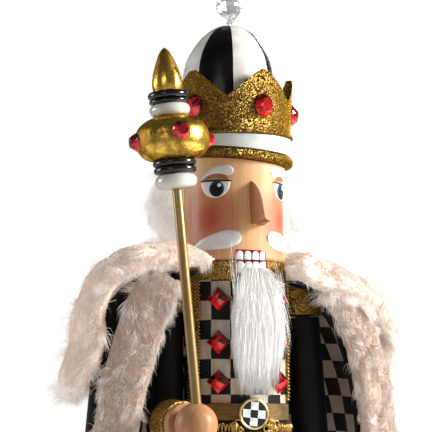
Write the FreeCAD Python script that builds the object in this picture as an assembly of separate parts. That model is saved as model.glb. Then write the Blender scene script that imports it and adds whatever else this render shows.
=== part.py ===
"""King nutcracker figure, 618 mm tall: a turned and painted wooden king on a stepped plinth.

Row frame: millimetres, +Z up, origin at the centre of the plinth's felt underside, the king faces -Y,
and his right hand is on the -X side. Bearings round the figure are measured in degrees from the
front (-Y) towards his left (+X), so 0 is his face, 90 his left arm and 180 his back.
"""
import FreeCAD
import Part
import math
import os

V = FreeCAD.Vector
OUT = "parts"
GAP = 0.1            # glued curved faces stand this far apart
RUN = 0.05           # running clearance round the jaw's pivot pin
UP = V(0, 0, 1)
SIDES = (("right", -1), ("left", 1))

# Heights of the turned stack
FELT_T = 1.5
PLINTH_TOP = 19.0
STEP_TOP = 30.0
SOLE_TOP = 52.0
BOOT_TOP = 128.0
SKIRT_BOTTOM = 215.0
BELT_BOTTOM = 270.0
BELT_TOP = 283.0
VEST_TOP = 379.0
NECK = 394.0
HEAD_TOP = 474.0
RIM_TOP = 483.0
BAND_TOP = 493.4
VALLEY = 523.0
TIP = 545.0
DOME_TOP = 588.7
TOTAL = 618.0

# Radii and widths
TORSO_R = 40.0
BUCKLE_R = 10.0
BUCKLE_Z = 275.0
PANEL_T = 1.2
HEAD_R = 41.0
RIM_R = 47.6
RIM_TILT = 4.2       # the brim sits lower over his left eye
BAND_R = 46.2
CROWN_R = 48.4
CROWN_T = 3.8
POINTS = 5
CROWN_TURN = 11.0    # bearing of the crown point nearest the face
CROWN_SHIFT = V(-0.75, 0.3, 0)    # hand-set a little towards his right
DOME_SHIFT = V(-3.4, 1.2, 0)
TURN_AXIS = V(math.sin(math.radians(20)), math.cos(math.radians(20)), 0)
LEG_X = 24.0
ARM_X = 58.0
ARM_R = 14.5
EPAULET_R = 16.2
ARM_TOP = 354.0
ELBOW_Z = 265.0
HAND_R = 16.2
RIGHT_HAND_RISE = 2.2  # ball's middle above the elbow's
FOREARM_TURN = 8.0     # forearm's cuff points outwards from the hand
HAND_Y = -74.0
LEFT_ARM_LENGTH = 104.0
LEFT_ARM_LEAN = 4.5
WRIST_LENGTH = 8.0
CUFF_AT = 22.0       # hand's middle to the cuff's near face
CUFF_LENGTH = 20.0

# Jaw and lever
SLOT_W = 27.2
JAW_W = 26.6
SLOT_FLOOR = 338.0
PIVOT_Y = -4.0
PIVOT_Z = 360.0
PIN_R = 3.0
LEVER_BACK = 56.0
LEVER_FOOT = 258.0
NUT_POCKET = 10.0

# Sceptre, built upright at its hole's middle and then leant outwards
ROD_R = 3.75
ROD_LEAN = 5.6
SOCKET = 9.0         # depth of the hand's blind hole below the ball's middle
GRIP = V(-ARM_X + 2.5, HAND_Y - 1.5, ELBOW_Z)
ORB_R = 27.9
ORB_H = 33.0
ORB_MID = 217.6
ORB_GEMS = ((-3, 220.0), (94, 215.6), (176, 217.0), (266, 216.0))     # bearing and height


# ---------------------------------------------------------------- shape helpers
def polar(radius, bearing, z=0.0):
    """A point at a bearing from the front."""
    a = math.radians(bearing)
    return V(radius * math.sin(a), -radius * math.cos(a), z)


def cylinder(r, z0, z1, x=0.0, y=0.0):
    return Part.makeCylinder(r, z1 - z0, V(x, y, z0), UP)


def rod_between(a, b, r):
    return Part.makeCylinder(r, (b - a).Length, a, b - a)


def block(x0, x1, y0, y1, z0, z1):
    return Part.makeBox(x1 - x0, y1 - y0, z1 - z0, V(x0, y0, z0))


def turned(profile, smooth=()):
    """Solid of revolution about Z from (radius, z) points; a run of indices in smooth is one spline."""
    pts = [V(r, 0, z) for r, z in profile]
    edges = []
    i = 0
    while i < len(pts) - 1:
        run = next((s for s in smooth if s[0] == i), None)
        j = run[1] if run else i + 1
        if run:
            curve = Part.BSplineCurve()
            curve.interpolate(pts[i:j + 1])
            edges.append(curve.toShape())
        else:
            edges.append(Part.LineSegment(pts[i], pts[j]).toShape())
        i = j
    edges.append(Part.LineSegment(pts[-1], pts[0]).toShape())
    return Part.Face(Part.Wire(edges)).revolve(V(0, 0, 0), UP, 360)


def sector(radius, z0, z1, bearing0, bearing1):
    """Pie slice between two bearings, used to cut rings into panels."""
    pie = Part.makeCylinder(radius, z1 - z0, V(0, 0, z0), UP, bearing1 - bearing0)
    pie.rotate(V(0, 0, 0), UP, bearing0 - 90)
    return pie


def ring(r_in, r_out, z0, z1):
    return cylinder(r_out, z0, z1).cut(cylinder(r_in, z0 - 1, z1 + 1))


def polygon_wire(points):
    return Part.makePolygon(list(points) + [points[0]])


def prism(points, along):
    return Part.Face(polygon_wire(points)).extrude(along)


def rounded_slab(width, depth, z0, z1, corner, edge):
    """Rounded rectangle plate with its top edge eased."""
    slab = block(-width / 2, width / 2, -depth / 2, depth / 2, z0, z1)
    uprights = [e for e in slab.Edges if abs(e.Vertexes[0].Z - e.Vertexes[1].Z) > 1]
    slab = slab.makeFillet(corner, uprights)
    rim = [e for e in slab.Edges if all(abs(v.Z - z1) < 1e-6 for v in e.Vertexes)]
    return slab.makeFillet(edge, rim)


def bulged_ring(r_in, r_out, z0, z1):
    """Half-round moulding round the Z axis, as a turned bead."""
    mid = (z0 + z1) / 2
    flat = r_out - (z1 - z0) / 2
    arc = Part.Arc(V(flat, 0, z0), V(r_out, 0, mid), V(flat, 0, z1)).toShape()
    lines = [V(flat, 0, z1), V(r_in, 0, z1), V(r_in, 0, z0), V(flat, 0, z0)]
    edges = [arc] + [Part.LineSegment(a, b).toShape() for a, b in zip(lines, lines[1:])]
    return Part.Face(Part.Wire(edges)).revolve(V(0, 0, 0), UP, 360)


def evened(points, count):
    """Points at equal steps along the smooth curve through the given ones."""
    curve = Part.BSplineCurve()
    curve.interpolate(points)
    return curve.toShape().discretize(Number=count)


def evened_grid(rings, rows, cols):
    """Grid of points at equal steps, both along each ring and from ring to ring."""
    across = [evened(line, cols) for line in rings]
    columns = [evened([line[j] for line in across], rows) for j in range(cols)]
    return [[column[i] for column in columns] for i in range(rows)]


def offset_grid(grid, distance):
    """The grid moved along its surface normals; positive is outwards from the figure."""
    rows, cols = len(grid), len(grid[0])
    moved = []
    for i in range(rows):
        line = []
        for j in range(cols):
            down = grid[min(i + 1, rows - 1)][j] - grid[max(i - 1, 0)][j]
            along = grid[i][min(j + 1, cols - 1)] - grid[i][max(j - 1, 0)]
            line.append(grid[i][j] + along.cross(down).normalize() * distance)
        moved.append(line)
    return moved


def sheet_solid(grid, thickness):
    """Closed shell of even thickness about a grid: two spline skins and four ruled rims."""
    skins = []
    for sign in (1, -1):
        surface = Part.BSplineSurface()
        surface.interpolate(offset_grid(grid, sign * thickness / 2))
        skins.append(surface)
    faces = [s.toShape() for s in skins]
    bounds = [s.bounds() for s in skins]
    for k in range(4):
        pair = []
        for s, (u0, u1, v0, v1) in zip(skins, bounds):
            curve = s.uIso((u0, u1)[k]) if k < 2 else s.vIso((v0, v1)[k - 2])
            pair.append(curve.toShape())
        faces.append(Part.makeRuledSurface(pair[0], pair[1]))
    shell = Part.makeShell(faces)
    shell.sewShape()
    solid = Part.Solid(Part.Shell(shell.Faces)) if shell.ShapeType != "Shell" else Part.Solid(shell)
    return solid if solid.Volume > 0 else solid.reversed()


def open_ring(right, left):
    """Points from the right front edge round the back to the left front edge."""
    return [V(-x, y, z) for x, y, z in right] + [V(*p) for p in left[::-1]]


def gem(width, height, depth, sides, table, turn=0.0):
    """Faceted stone lying in the XZ plane, girdle on Y=0, table towards -Y."""
    def outline(scale, y):
        pts = []
        for k in range(sides):
            a = math.radians(turn + 360.0 * k / sides)
            pts.append(V(scale * width / 2 * math.cos(a), y, scale * height / 2 * math.sin(a)))
        return polygon_wire(pts)
    return Part.makeLoft([outline(1, 0), outline(1, -depth * 0.25), outline(table, -depth)], True, True)


def set_on(shape, radius, bearing, z, lean=0.0):
    """Moves a shape made facing -Y at the origin on to the figure at a bearing."""
    placed = shape.copy()
    placed.rotate(V(0, 0, 0), V(1, 0, 0), lean)
    placed.rotate(V(0, 0, 0), UP, bearing)
    placed.translate(polar(radius, bearing, z))
    return placed


def save(name, *solids):
    shape = solids[0] if len(solids) == 1 else Part.makeCompound(list(solids))
    found = shape.Solids
    for s in found:
        if not s.isValid() or s.Volume <= 0:
            print("BAD SOLID", name, s.isValid(), round(s.Volume, 2))
    shape = found[0] if len(found) == 1 else Part.makeCompound(found)
    shape.exportStep(os.path.join(OUT, name + ".step"))


# ---------------------------------------------------------------- base, boots and legs
def make_base():
    save("base_felt", rounded_slab(150, 118, 0, FELT_T, 28, 0.4))
    save("base_plinth", rounded_slab(164, 130, FELT_T, PLINTH_TOP, 34, 5))
    step = rounded_slab(142, 108, PLINTH_TOP, STEP_TOP, 30, 4)
    for _, side in SIDES:
        step = step.cut(cylinder(4.1, STEP_TOP - 8, STEP_TOP + 1, side * LEG_X, 0))
    save("base_step", step)


def boot_foot(x):
    """Rounded shoe block: heel behind the shaft, long toe in front."""
    width, heel, toe = 38.0, 24.0, -46.0
    r = width / 2
    shoe = block(x - r, x + r, toe + r, heel - r, STEP_TOP, SOLE_TOP)
    shoe = shoe.fuse(cylinder(r, STEP_TOP, SOLE_TOP, x, toe + r))
    shoe = shoe.fuse(cylinder(r, STEP_TOP, SOLE_TOP, x, heel - r)).removeSplitter()
    rim = [e for e in shoe.Edges if all(abs(v.Z - SOLE_TOP) < 1e-6 for v in e.Vertexes)]
    shoe = shoe.makeFillet(7, rim)
    return shoe.cut(cylinder(4.1, STEP_TOP - 1, SOLE_TOP + 1, x, 0))


def make_legs():
    shafts, cuffs, legs = [], [], []
    for name, side in SIDES:
        x = side * LEG_X
        save("boot_foot_" + name, boot_foot(x))
        shaft = turned([(0, SOLE_TOP), (17, SOLE_TOP), (16.5, 60), (17, 76), (18.5, 95), (20, 112),
                        (20.5, BOOT_TOP), (0, BOOT_TOP)], smooth=[(1, 6)])
        shaft = shaft.cut(cylinder(4.1, SOLE_TOP - 1, BOOT_TOP + 1))
        cuff = bulged_ring(4.1, 22.5, BOOT_TOP, BOOT_TOP + 7)
        leg = turned([(4.1, BOOT_TOP + 7), (19.5, BOOT_TOP + 7), (20.5, 170), (21.5, SKIRT_BOTTOM),
                      (4.1, SKIRT_BOTTOM)])
        for turned_parts, shape in ((shafts, shaft), (cuffs, cuff), (legs, leg)):
            shape.translate(V(x, 0, 0))
            turned_parts.append(shape)
    save("boot_shafts", *shafts)
    save("boot_cuffs", *cuffs)
    save("legs", *legs)
    save("leg_dowels", *[cylinder(4.0, STEP_TOP - 8, SKIRT_BOTTOM + 20, s * LEG_X, 0) for _, s in SIDES])


# ---------------------------------------------------------------- coat and torso
def mouth_slot(z1=NECK + 1, y0=-70.0, y1=70.0):
    return block(-SLOT_W / 2, SLOT_W / 2, y0, y1, SLOT_FLOOR, z1)


def make_torso():
    skirt = turned([(0, SKIRT_BOTTOM), (48, SKIRT_BOTTOM), (48.6, 218), (46.6, 228), (44.2, 242),
                    (42.8, 257), (TORSO_R + 2.0, BELT_BOTTOM), (0, BELT_BOTTOM)], smooth=[(2, 6)])
    for _, side in SIDES:
        skirt = skirt.cut(cylinder(4.1, SKIRT_BOTTOM - 1, SKIRT_BOTTOM + 21, side * LEG_X, 0))
    save("coat_skirt", skirt)
    torso = turned([(0, BELT_BOTTOM), (TORSO_R - 1.5, BELT_BOTTOM), (TORSO_R, BELT_TOP + 6),
                    (TORSO_R, NECK), (0, NECK)])
    torso = torso.cut(mouth_slot())
    torso = torso.cut(rod_between(V(-60, PIVOT_Y, PIVOT_Z), V(60, PIVOT_Y, PIVOT_Z), PIN_R + 0.02))
    for _, side in SIDES:
        a, b = V(side * 20, 0, ARM_TOP - 30), V(side * 60, 0, ARM_TOP - 30)
        torso = torso.cut(rod_between(a, b, 4.1))
    save("torso", torso)
    save("pivot_pin", rod_between(V(-38, PIVOT_Y, PIVOT_Z), V(38, PIVOT_Y, PIVOT_Z), PIN_R))
    save("arm_dowels", *[rod_between(V(s * 21, 0, ARM_TOP - 30), V(s * (ARM_X - 4), 0, ARM_TOP - 30), 4.0)
                         for _, s in SIDES])
    hem = bulged_ring(48.8, 51.2, SKIRT_BOTTOM + 0.5, SKIRT_BOTTOM + 4.5)
    save("skirt_braid", hem)
    inner = TORSO_R + GAP
    vest = ring(inner, inner + PANEL_T, BELT_TOP + 0.2, VEST_TOP)
    vest = vest.common(sector(60, BELT_TOP - 5, VEST_TOP + 5, -62, 62)).cut(mouth_slot())
    save("vest", vest)
    collar = ring(inner, inner + 1.5, VEST_TOP + 0.2, NECK - 0.4).cut(mouth_slot(y1=0))
    save("collar_band", collar.cut(mouth_slot(y0=0)))
    braid = ring(inner, inner + 2.4, BELT_TOP + 0.2, VEST_TOP)
    edges = [sorted((side * 62.4, side * 71.5)) for _, side in SIDES]
    save("vest_braids", *[braid.common(sector(60, BELT_TOP - 5, VEST_TOP + 5, *pair)) for pair in edges])
    save("belt", ring(TORSO_R + 0.2, TORSO_R + 3.2, BELT_BOTTOM + 0.2, BELT_TOP - 0.1))
    braid = bulged_ring(TORSO_R + 3.2, TORSO_R + 6.4, BELT_BOTTOM - 8.6, BELT_BOTTOM - 2.6)
    braid = braid.common(sector(60, BELT_BOTTOM - 20, BELT_TOP, -60, 60))
    save("belt_braid", braid.cut(Part.makeCylinder(BUCKLE_R + 2.9, 80, V(0, 0, BUCKLE_Z), V(0, -1, 0))))


def make_buckle():
    r, z, face = BUCKLE_R, BUCKLE_Z, TORSO_R + 3.4
    plate = Part.makeCylinder(r, 2.2, V(0, -face, z), V(0, -1, 0))
    save("buckle", plate)
    hoop = Part.makeTorus(r + 1.2, 1.1, V(0, -face - 1.2, z), V(0, 1, 0))
    save("buckle_rim", hoop)


def make_vest_gems():
    stone = gem(18.5, 18.5, 6.0, 4, 0.16)
    save("vest_gems", *[set_on(stone, TORSO_R + PANEL_T + 0.5, side * 37, z)
                        for _, side in SIDES for z in (364.0, 330.5, 300.0)])


# ---------------------------------------------------------------- arms
def make_arms():
    for name, side in SIDES:
        x = side * ARM_X
        cap = turned([(0, ARM_TOP), (EPAULET_R, ARM_TOP), (EPAULET_R, ARM_TOP + 6), (14.5, ARM_TOP + 14),
                      (9, ARM_TOP + 19.5), (0, ARM_TOP + 21)], smooth=[(2, 5)])
        cap.translate(V(x, 0, 0))
        save("epaulet_" + name, cap)
    elbow = V(-ARM_X, 0, ELBOW_Z)
    upper = cylinder(ARM_R, ELBOW_Z, ARM_TOP, -ARM_X, 0).fuse(Part.makeSphere(ARM_R, elbow)).removeSplitter()
    upper = upper.cut(rod_between(V(-ARM_X + 4, 0, ARM_TOP - 30), V(0, 0, ARM_TOP - 30), 4.1))
    save("upper_arm_right", upper)
    right_hand = V(-ARM_X + 1, HAND_Y, ELBOW_Z + RIGHT_HAND_RISE)
    right_back = FreeCAD.Rotation(UP, FOREARM_TURN).multVec(V(0, 1, 0))
    hang = FreeCAD.Rotation(V(0, 1, 0), -LEFT_ARM_LEAN).multVec(V(0, 0, -1))
    shoulder = V(ARM_X, 0, ARM_TOP - 2)
    left_hand = shoulder + hang * (LEFT_ARM_LENGTH + CUFF_AT + CUFF_LENGTH)
    sleeve = rod_between(shoulder, shoulder + hang * LEFT_ARM_LENGTH, ARM_R)
    sleeve = sleeve.cut(rod_between(V(0, 0, ARM_TOP - 30), V(ARM_X - 4, 0, ARM_TOP - 30), 4.1))
    save("upper_arm_left", sleeve)
    lean = FreeCAD.Rotation(V(0, 1, 0), -ROD_LEAN)
    bore = Part.makeCylinder(ROD_R + RUN, 60, GRIP - lean.multVec(UP) * SOCKET, lean.multVec(UP))
    hands = (("right", right_hand, right_back), ("left", left_hand, -hang))
    wrists = []
    for name, centre, back in hands:
        ball = Part.makeSphere(HAND_R, centre)
        wrist = Part.makeCylinder(HAND_R + 0.2, WRIST_LENGTH, centre + back * (CUFF_AT - WRIST_LENGTH), back)
        wrist = wrist.cut(ball)
        cuff = Part.makeCone(HAND_R + 1.3, HAND_R + 3, CUFF_LENGTH, centre + back * CUFF_AT, back)
        if name == "right":
            ball = ball.cut(bore)
            into_cuff = centre + back * (CUFF_AT + CUFF_LENGTH - 7)
            forearm = rod_between(elbow, into_cuff, ARM_R - 0.6).cut(upper)
            save("forearm_right", forearm.cut(cuff))
        save("hand_" + name, ball)
        wrists.append(wrist)
        save("cuff_" + name, cuff.makeFillet(1.2, cuff.Edges[0:1]))
    save("wrists", *wrists)


# ---------------------------------------------------------------- head and crown
def make_head():
    head = turned([(0, NECK), (HEAD_R - 2.2, NECK), (HEAD_R - 0.6, NECK + 1.4), (HEAD_R, NECK + 4),
                   (HEAD_R, HEAD_TOP + 6), (0, HEAD_TOP + 6)], smooth=[(1, 3)])
    head = head.cut(tilted(cylinder(70, HEAD_TOP, HEAD_TOP + 40)))
    save("head", head.cut(cylinder(6.1, HEAD_TOP - 14, HEAD_TOP + 8)))
    save("crown_dowel", cylinder(6.0, HEAD_TOP - 13.5, BAND_TOP + 8))
    nose = nose_wedge().cut(cylinder(HEAD_R + GAP, NECK, HEAD_TOP))
    save("nose", nose)


def tilted(shape):
    """The brim's small tilt, about the middle of its underside."""
    turned_shape = shape.copy()
    turned_shape.rotate(V(0, 0, HEAD_TOP), TURN_AXIS, RIM_TILT)
    return turned_shape


def nose_wedge():
    """Carved nose: a steep ridge that flares to a point over its flat underside."""
    top, low = 456.3, 422.6
    sections = []
    for t, x0, half, out in ((0.0, -0.3, 1.2, 0.6), (0.08, 0.2, 2.2, 6.5), (0.27, 1.3, 3.2, 13.8),
                             (0.6, 3.0, 4.5, 17.0), (0.88, 4.4, 5.4, 17.4), (0.95, 4.8, 5.8, 20.5),
                             (1.0, 5.2, 6.2, 27.0)):
        z = top + (low - top) * t
        y = -HEAD_R + 4
        sections.append(polygon_wire([V(x0 - half, y, z), V(x0 - half * 0.35, -HEAD_R - out * 0.8, z),
                                      V(x0, -HEAD_R - out, z), V(x0 + half * 0.35, -HEAD_R - out * 0.8, z),
                                      V(x0 + half, y, z)]))
    return Part.makeLoft(sections, True, False)


def crown_wall():
    """Slightly flared wall with five points, thicker towards them, cut by five V notches."""
    low, high = BAND_R - 2.7, CROWN_R
    wall = turned([(low, BAND_TOP), (low + 2.8, BAND_TOP), (high - 0.6, VALLEY + 4), (high, TIP),
                   (high - CROWN_T, TIP), (high - 0.6 - CROWN_T, VALLEY + 4)], smooth=[(1, 3)])
    half = high * math.sin(math.pi / POINTS) - 2.0
    for k in range(POINTS):
        bearing = CROWN_TURN + 360.0 / POINTS * (k + 0.5)
        notch = prism([V(-half, 0, TIP + 0.5), V(0, 0, VALLEY), V(half, 0, TIP + 0.5)], V(0, -80, 0))
        notch.rotate(V(0, 0, 0), UP, bearing)
        wall = wall.cut(notch)
    return wall


def make_crown():
    bore = cylinder(6.1, HEAD_TOP - 10, BAND_TOP + 9)
    save("crown_rim", tilted(bulged_ring(4, RIM_R, HEAD_TOP + 0.4, RIM_TOP)).cut(bore))
    band = cylinder(BAND_R, HEAD_TOP, BAND_TOP).cut(bore)
    save("crown_band", band.cut(tilted(cylinder(70, HEAD_TOP - 40, RIM_TOP))))
    wall = crown_wall()
    wall.translate(CROWN_SHIFT)
    save("crown_wall", wall)
    bead = bulged_ring(BAND_R + 0.9, BAND_R + 2.4, BAND_TOP + 0.2, BAND_TOP + 3.8)
    bead.translate(CROWN_SHIFT)
    save("crown_bead", bead)
    stone = gem(15.5, 19.0, 5.5, 12, 0.6)
    stones = [set_on(stone, 48.7, CROWN_TURN + 360.0 / POINTS * k, 516.5, 5) for k in range(POINTS)]
    for shape in stones:
        shape.translate(CROWN_SHIFT)
    save("crown_gems", *stones)
    dome = turned([(0, BAND_TOP), (38.5, BAND_TOP), (39.8, 508), (40.0, 522), (39.3, 535), (37.6, 546.7),
                   (34.9, 558.5), (29.4, 568.9), (21.3, 579.2), (11.5, 586), (0, DOME_TOP)], smooth=[(1, 10)])
    dome = dome.cut(cylinder(1.3, DOME_TOP - 12, DOME_TOP + 1))
    dome.translate(DOME_SHIFT)
    save("dome", dome.cut(cylinder(6.1, BAND_TOP - 1, BAND_TOP + 9)))


def make_finial():
    """Cut crystal: long pavilion cone under a faceted ball and a small top stone."""
    def cut_ring(r, z, turn):
        return polygon_wire([polar(r, turn + 36.0 * k, z) for k in range(10)])
    rings = [(1.8, DOME_TOP + 1.2), (8.6, 599.5), (11.0, 603.5), (11.0, 606.1), (7.6, 612.2), (3.4, TOTAL)]
    crystal = Part.makeLoft([cut_ring(r, z, 0) for r, z in rings], True, True)
    crystal = crystal.cut(cylinder(1.3, DOME_TOP, 598))
    pin = cylinder(1.2, DOME_TOP - 11.5, 597.5)
    for name, shape in (("finial_crystal", crystal), ("finial_pin", pin)):
        shape.translate(DOME_SHIFT)
        save(name, shape)


# ---------------------------------------------------------------- jaw lever and beard
def make_jaw():
    w = JAW_W / 2
    outline = [(-46, 352), (-46, NECK - 0.5), (-34, NECK - 0.5), (-34, NECK - 0.5 - NUT_POCKET),
               (-16, NECK - 0.5 - NUT_POCKET), (-8, 372), (44, 368), (50, 368), (LEVER_BACK, 362),
               (LEVER_BACK + 1, 330), (LEVER_BACK + 3, 290), (LEVER_BACK + 3, LEVER_FOOT + 6),
               (LEVER_BACK - 1, LEVER_FOOT), (LEVER_BACK - 8, LEVER_FOOT), (LEVER_BACK - 11, 290),
               (LEVER_BACK - 12, 340), (40, 350), (-30, 350)]
    lever = prism([V(-w, y, z) for y, z in outline], V(JAW_W, 0, 0))
    front = cylinder(TORSO_R + GAP + PANEL_T, 300, 400)
    keep = front.fuse(block(-20, 20, 0, 80, 200, 400))
    lever = lever.common(keep)
    bore = rod_between(V(-30, PIVOT_Y, PIVOT_Z), V(30, PIVOT_Y, PIVOT_Z), PIN_R + RUN)
    save("jaw_lever", lever.cut(bore))


def make_beard():
    """Soft fur beard, hung from the jaw's chin just in front of the vest."""
    def oval(width, thick, back, z):
        e = Part.Ellipse(V(2.0, back - thick / 2, z), width / 2, thick / 2)
        return Part.Wire([e.toShape()])
    shape = [(27, 5, -42.9, 386.5), (31, 11, -42.9, 374), (36, 15, -42.9, 350), (37, 15, -43.2, 322),
             (31, 12, -45.0, 303), (20, 6, -47.6, 291.5)]
    save("beard", Part.makeLoft([oval(*row) for row in shape], True, False))


# ---------------------------------------------------------------- sceptre
def leant(shape):
    shape.rotate(V(0, 0, 0), V(0, 1, 0), -ROD_LEAN)
    shape.translate(GRIP)
    return shape


def make_sceptre():
    low = ORB_MID - ORB_H / 2
    top = ORB_MID + ORB_H / 2
    foot = top + 19
    hole = cylinder(ROD_R + RUN, 0, foot + 12)
    save("sceptre_rod", leant(cylinder(ROD_R, -SOCKET, foot + 11.5)))
    stack = [("sceptre_white_ring_low", [(15.9, low - 22, low - 10.6)]),
             ("sceptre_black_rings_low", [(16.2, low - 10.6, low - 5.2), (16.5, low - 5.2, low)]),
             ("sceptre_white_ring_high", [(15.4, top, top + 9.6)]),
             ("sceptre_black_ring_high", [(15.1, top + 9.6, top + 12.8), (15.7, top + 12.8, foot)])]
    for name, rings in stack:
        save(name, *[leant(bulged_ring(ROD_R + RUN, r, z0 + 0.02, z1 - 0.02)) for r, z0, z1 in rings])
    orb = turned([(ROD_R + RUN, low), (15.5, low), (23.0, low + 3.0), (27.0, low + 8.6), (ORB_R, ORB_MID),
                  (26.6, top - 9.8), (21, top - 4.0), (12, top), (ROD_R + RUN, top)], smooth=[(1, 7)])
    save("sceptre_orb", leant(orb))
    stone = gem(14.2, 14.2, 5.0, 10, 0.55)
    gems = [set_on(stone, ORB_R + 0.3, bearing, z) for bearing, z in ORB_GEMS]
    save("sceptre_gems", leant(Part.makeCompound(gems)))
    tip = turned([(0, foot), (11.0, foot), (11.7, foot + 5), (10.2, foot + 14), (6.7, foot + 24),
                  (2.6, foot + 31.6), (0.0, foot + 33.7)], smooth=[(1, 6)])
    save("sceptre_tip", leant(tip.cut(hole)))


# ---------------------------------------------------------------- cape, furs and hair
# Every ring runs from the front edge round to the back: front edge, front corner, side, rear quarter, back.
# The cape's two halves hang differently, because his right arm is raised under it.
CAPE_RIGHT = (
    ((42, -35, 385), (54, -28, 385), (62, 4, 385), (44, 44, 385), (0, 60, 385)),
    ((52, -33, 378), (72, -26, 378), (84, 8, 378), (59, 60, 378), (0, 78, 378)),
    ((62.5, -31, 357), (89, -23, 357), (101, 14, 357), (74, 74, 357), (0, 92, 357)),
    ((74, -30, 322), (98, -21, 322), (108, 18, 322), (81, 83, 322), (0, 99, 322)),
    ((84, -30, 286), (105, -21, 286), (112, 20, 286), (83, 88, 286), (0, 103, 286)),
    ((96, -31, 200), (113, -18, 200), (118, 24, 200), (87, 95, 200), (0, 109, 200)),
    ((101, -32, 120), (118, -17, 120), (122, 26, 120), (90, 100, 120), (0, 114, 120)),
    ((104, -33, 52), (121, -16, 52), (125, 28, 52), (92, 104, 52), (0, 118, 52)),
)
CAPE_LEFT = (
    ((42, -35, 381), (54, -28, 381), (62, 4, 382), (44, 44, 384)),
    ((54, -33, 373), (72, -26, 373), (84, 8, 374), (60, 60, 377)),
    ((68, -31, 354), (93, -22, 354), (104, 14, 354), (75, 74, 356)),
    ((82, -30, 322), (109, -20, 322), (118, 18, 322), (86, 84, 322)),
    ((90, -30, 286), (120, -18, 286), (127, 20, 286), (91, 90, 286)),
    ((97, -31, 200), (130, -16, 200), (137, 24, 200), (97, 97, 200)),
    ((101, -32, 120), (134, -15, 120), (140, 26, 120), (100, 102, 120)),
    ((104, -33, 52), (136, -14, 52), (142, 28, 52), (102, 106, 52)),
)
CAPE_T = 1.6
# Fur collar from the neck outwards
COLLAR_RIGHT = (
    ((32, -44, 394), (43, -33, 399), (53, 0, 401), (39, 39, 401), (0, 55, 401)),
    ((56, -44, 391), (65, -33, 397), (74, 6, 400), (54, 53, 399), (0, 72, 398)),
    ((85, -41, 387), (91, -30, 393), (95, 10, 393), (68, 69, 390), (0, 89, 388)),
    ((106, -35, 376), (110, -24, 381), (111, 13, 377), (80, 82, 372), (0, 102, 370)),
    ((118, -26, 354), (120, -15, 356), (120, 16, 352), (88, 90, 347), (0, 110, 346)),
    ((117, -27, 333), (120, -16, 332), (122, 18, 329), (92, 94, 325), (0, 113, 326)),
    ((122, -24, 311), (127, -13, 309), (128, 20, 307), (95, 97, 306), (0, 115, 308)),
    ((131, -16, 294), (134, -8, 292), (132, 21, 290), (97, 99, 291), (0, 117, 295)),
)
COLLAR_LEFT = (
    ((25, -46, 392), (39, -37, 395), (53, 0, 398), (39, 39, 401)),
    ((40, -46, 380), (56, -37, 389), (72, 6, 394), (54, 53, 397)),
    ((62, -45, 370), (77, -36, 381), (94, 10, 384), (69, 70, 388)),
    ((84, -42, 364), (98, -31, 372), (113, 14, 371), (82, 84, 371)),
    ((103, -38, 360), (116, -22, 362), (127, 16, 352), (93, 93, 346)),
    ((116, -30, 354), (127, -13, 350), (133, 18, 333), (98, 98, 326)),
    ((122, -27, 348), (132, -9, 339), (136, 19, 317), (101, 101, 309)),
    ((125, -24, 342), (134, -7, 330), (137, 19, 303), (103, 103, 296)),
)
COLLAR_T = 15.0
TRIM_T = 11.0
TRIM_COLUMNS = 3


def make_cape():
    cape = evened_grid([open_ring(*pair) for pair in zip(CAPE_RIGHT, CAPE_LEFT)], 14, 33)
    save("cape", sheet_solid(cape, CAPE_T))
    collar = evened_grid([open_ring(*pair) for pair in zip(COLLAR_RIGHT, COLLAR_LEFT)], 9, 23)
    save("fur_collar", sheet_solid(collar, COLLAR_T))
    outer = offset_grid(cape, TRIM_T / 2 + CAPE_T / 2 + 0.8)
    edges = {"right": slice(0, TRIM_COLUMNS), "left": slice(-TRIM_COLUMNS, None)}
    for name, columns in edges.items():
        save("fur_trim_" + name, sheet_solid([line[columns] for line in outer[2:]], TRIM_T))


def make_hair():
    profile = [(HEAD_R + 0.3, 411), (53, 411), (61, 420), (64, 438), (61, 455), (51, 466),
               (HEAD_R + 0.3, 468)]
    pts = [V(r, 0, z) for r, z in profile]
    curve = Part.BSplineCurve()
    curve.interpolate(pts[1:])
    edges = [Part.LineSegment(pts[0], pts[1]).toShape(), curve.toShape(),
             Part.LineSegment(pts[-1], pts[0]).toShape()]
    hair = Part.Face(Part.Wire(edges)).revolve(V(0, 0, 0), UP, 170)
    hair.rotate(V(0, 0, 0), UP, 5)
    save("hair", hair)


os.makedirs(OUT, exist_ok=True)
make_base()
make_legs()
make_torso()
make_buckle()
make_vest_gems()
make_arms()
make_head()
make_crown()
make_finial()
make_jaw()
make_beard()
make_sceptre()
make_cape()
make_hair()
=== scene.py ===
import bpy
import math
import numpy as np
from functools import partialmethod
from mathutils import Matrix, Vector, kdtree


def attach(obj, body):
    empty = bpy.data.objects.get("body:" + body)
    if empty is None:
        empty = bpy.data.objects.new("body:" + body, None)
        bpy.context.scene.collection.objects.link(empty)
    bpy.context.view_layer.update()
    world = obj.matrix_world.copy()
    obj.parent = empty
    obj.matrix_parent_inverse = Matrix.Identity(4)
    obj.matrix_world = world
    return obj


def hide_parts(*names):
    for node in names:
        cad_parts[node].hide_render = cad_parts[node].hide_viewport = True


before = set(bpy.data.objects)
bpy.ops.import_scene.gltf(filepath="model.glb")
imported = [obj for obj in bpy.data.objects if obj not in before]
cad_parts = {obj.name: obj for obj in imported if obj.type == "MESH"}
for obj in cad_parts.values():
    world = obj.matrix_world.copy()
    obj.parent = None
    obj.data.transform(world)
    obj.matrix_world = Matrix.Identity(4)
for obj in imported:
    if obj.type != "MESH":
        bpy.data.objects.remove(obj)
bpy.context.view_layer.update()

# Millimetres and degrees, unless a name or comment says otherwise. Material nodes work in metres.
MM = 0.001
rng = np.random.default_rng(7)
ROOT = "figure"
HEAD_R = 41.0  # head drum, under its paint
ARC = math.radians(1) * HEAD_R  # length of one degree of bearing on the head
LEAN = math.radians(5.6)  # sceptre's outward lean
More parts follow.
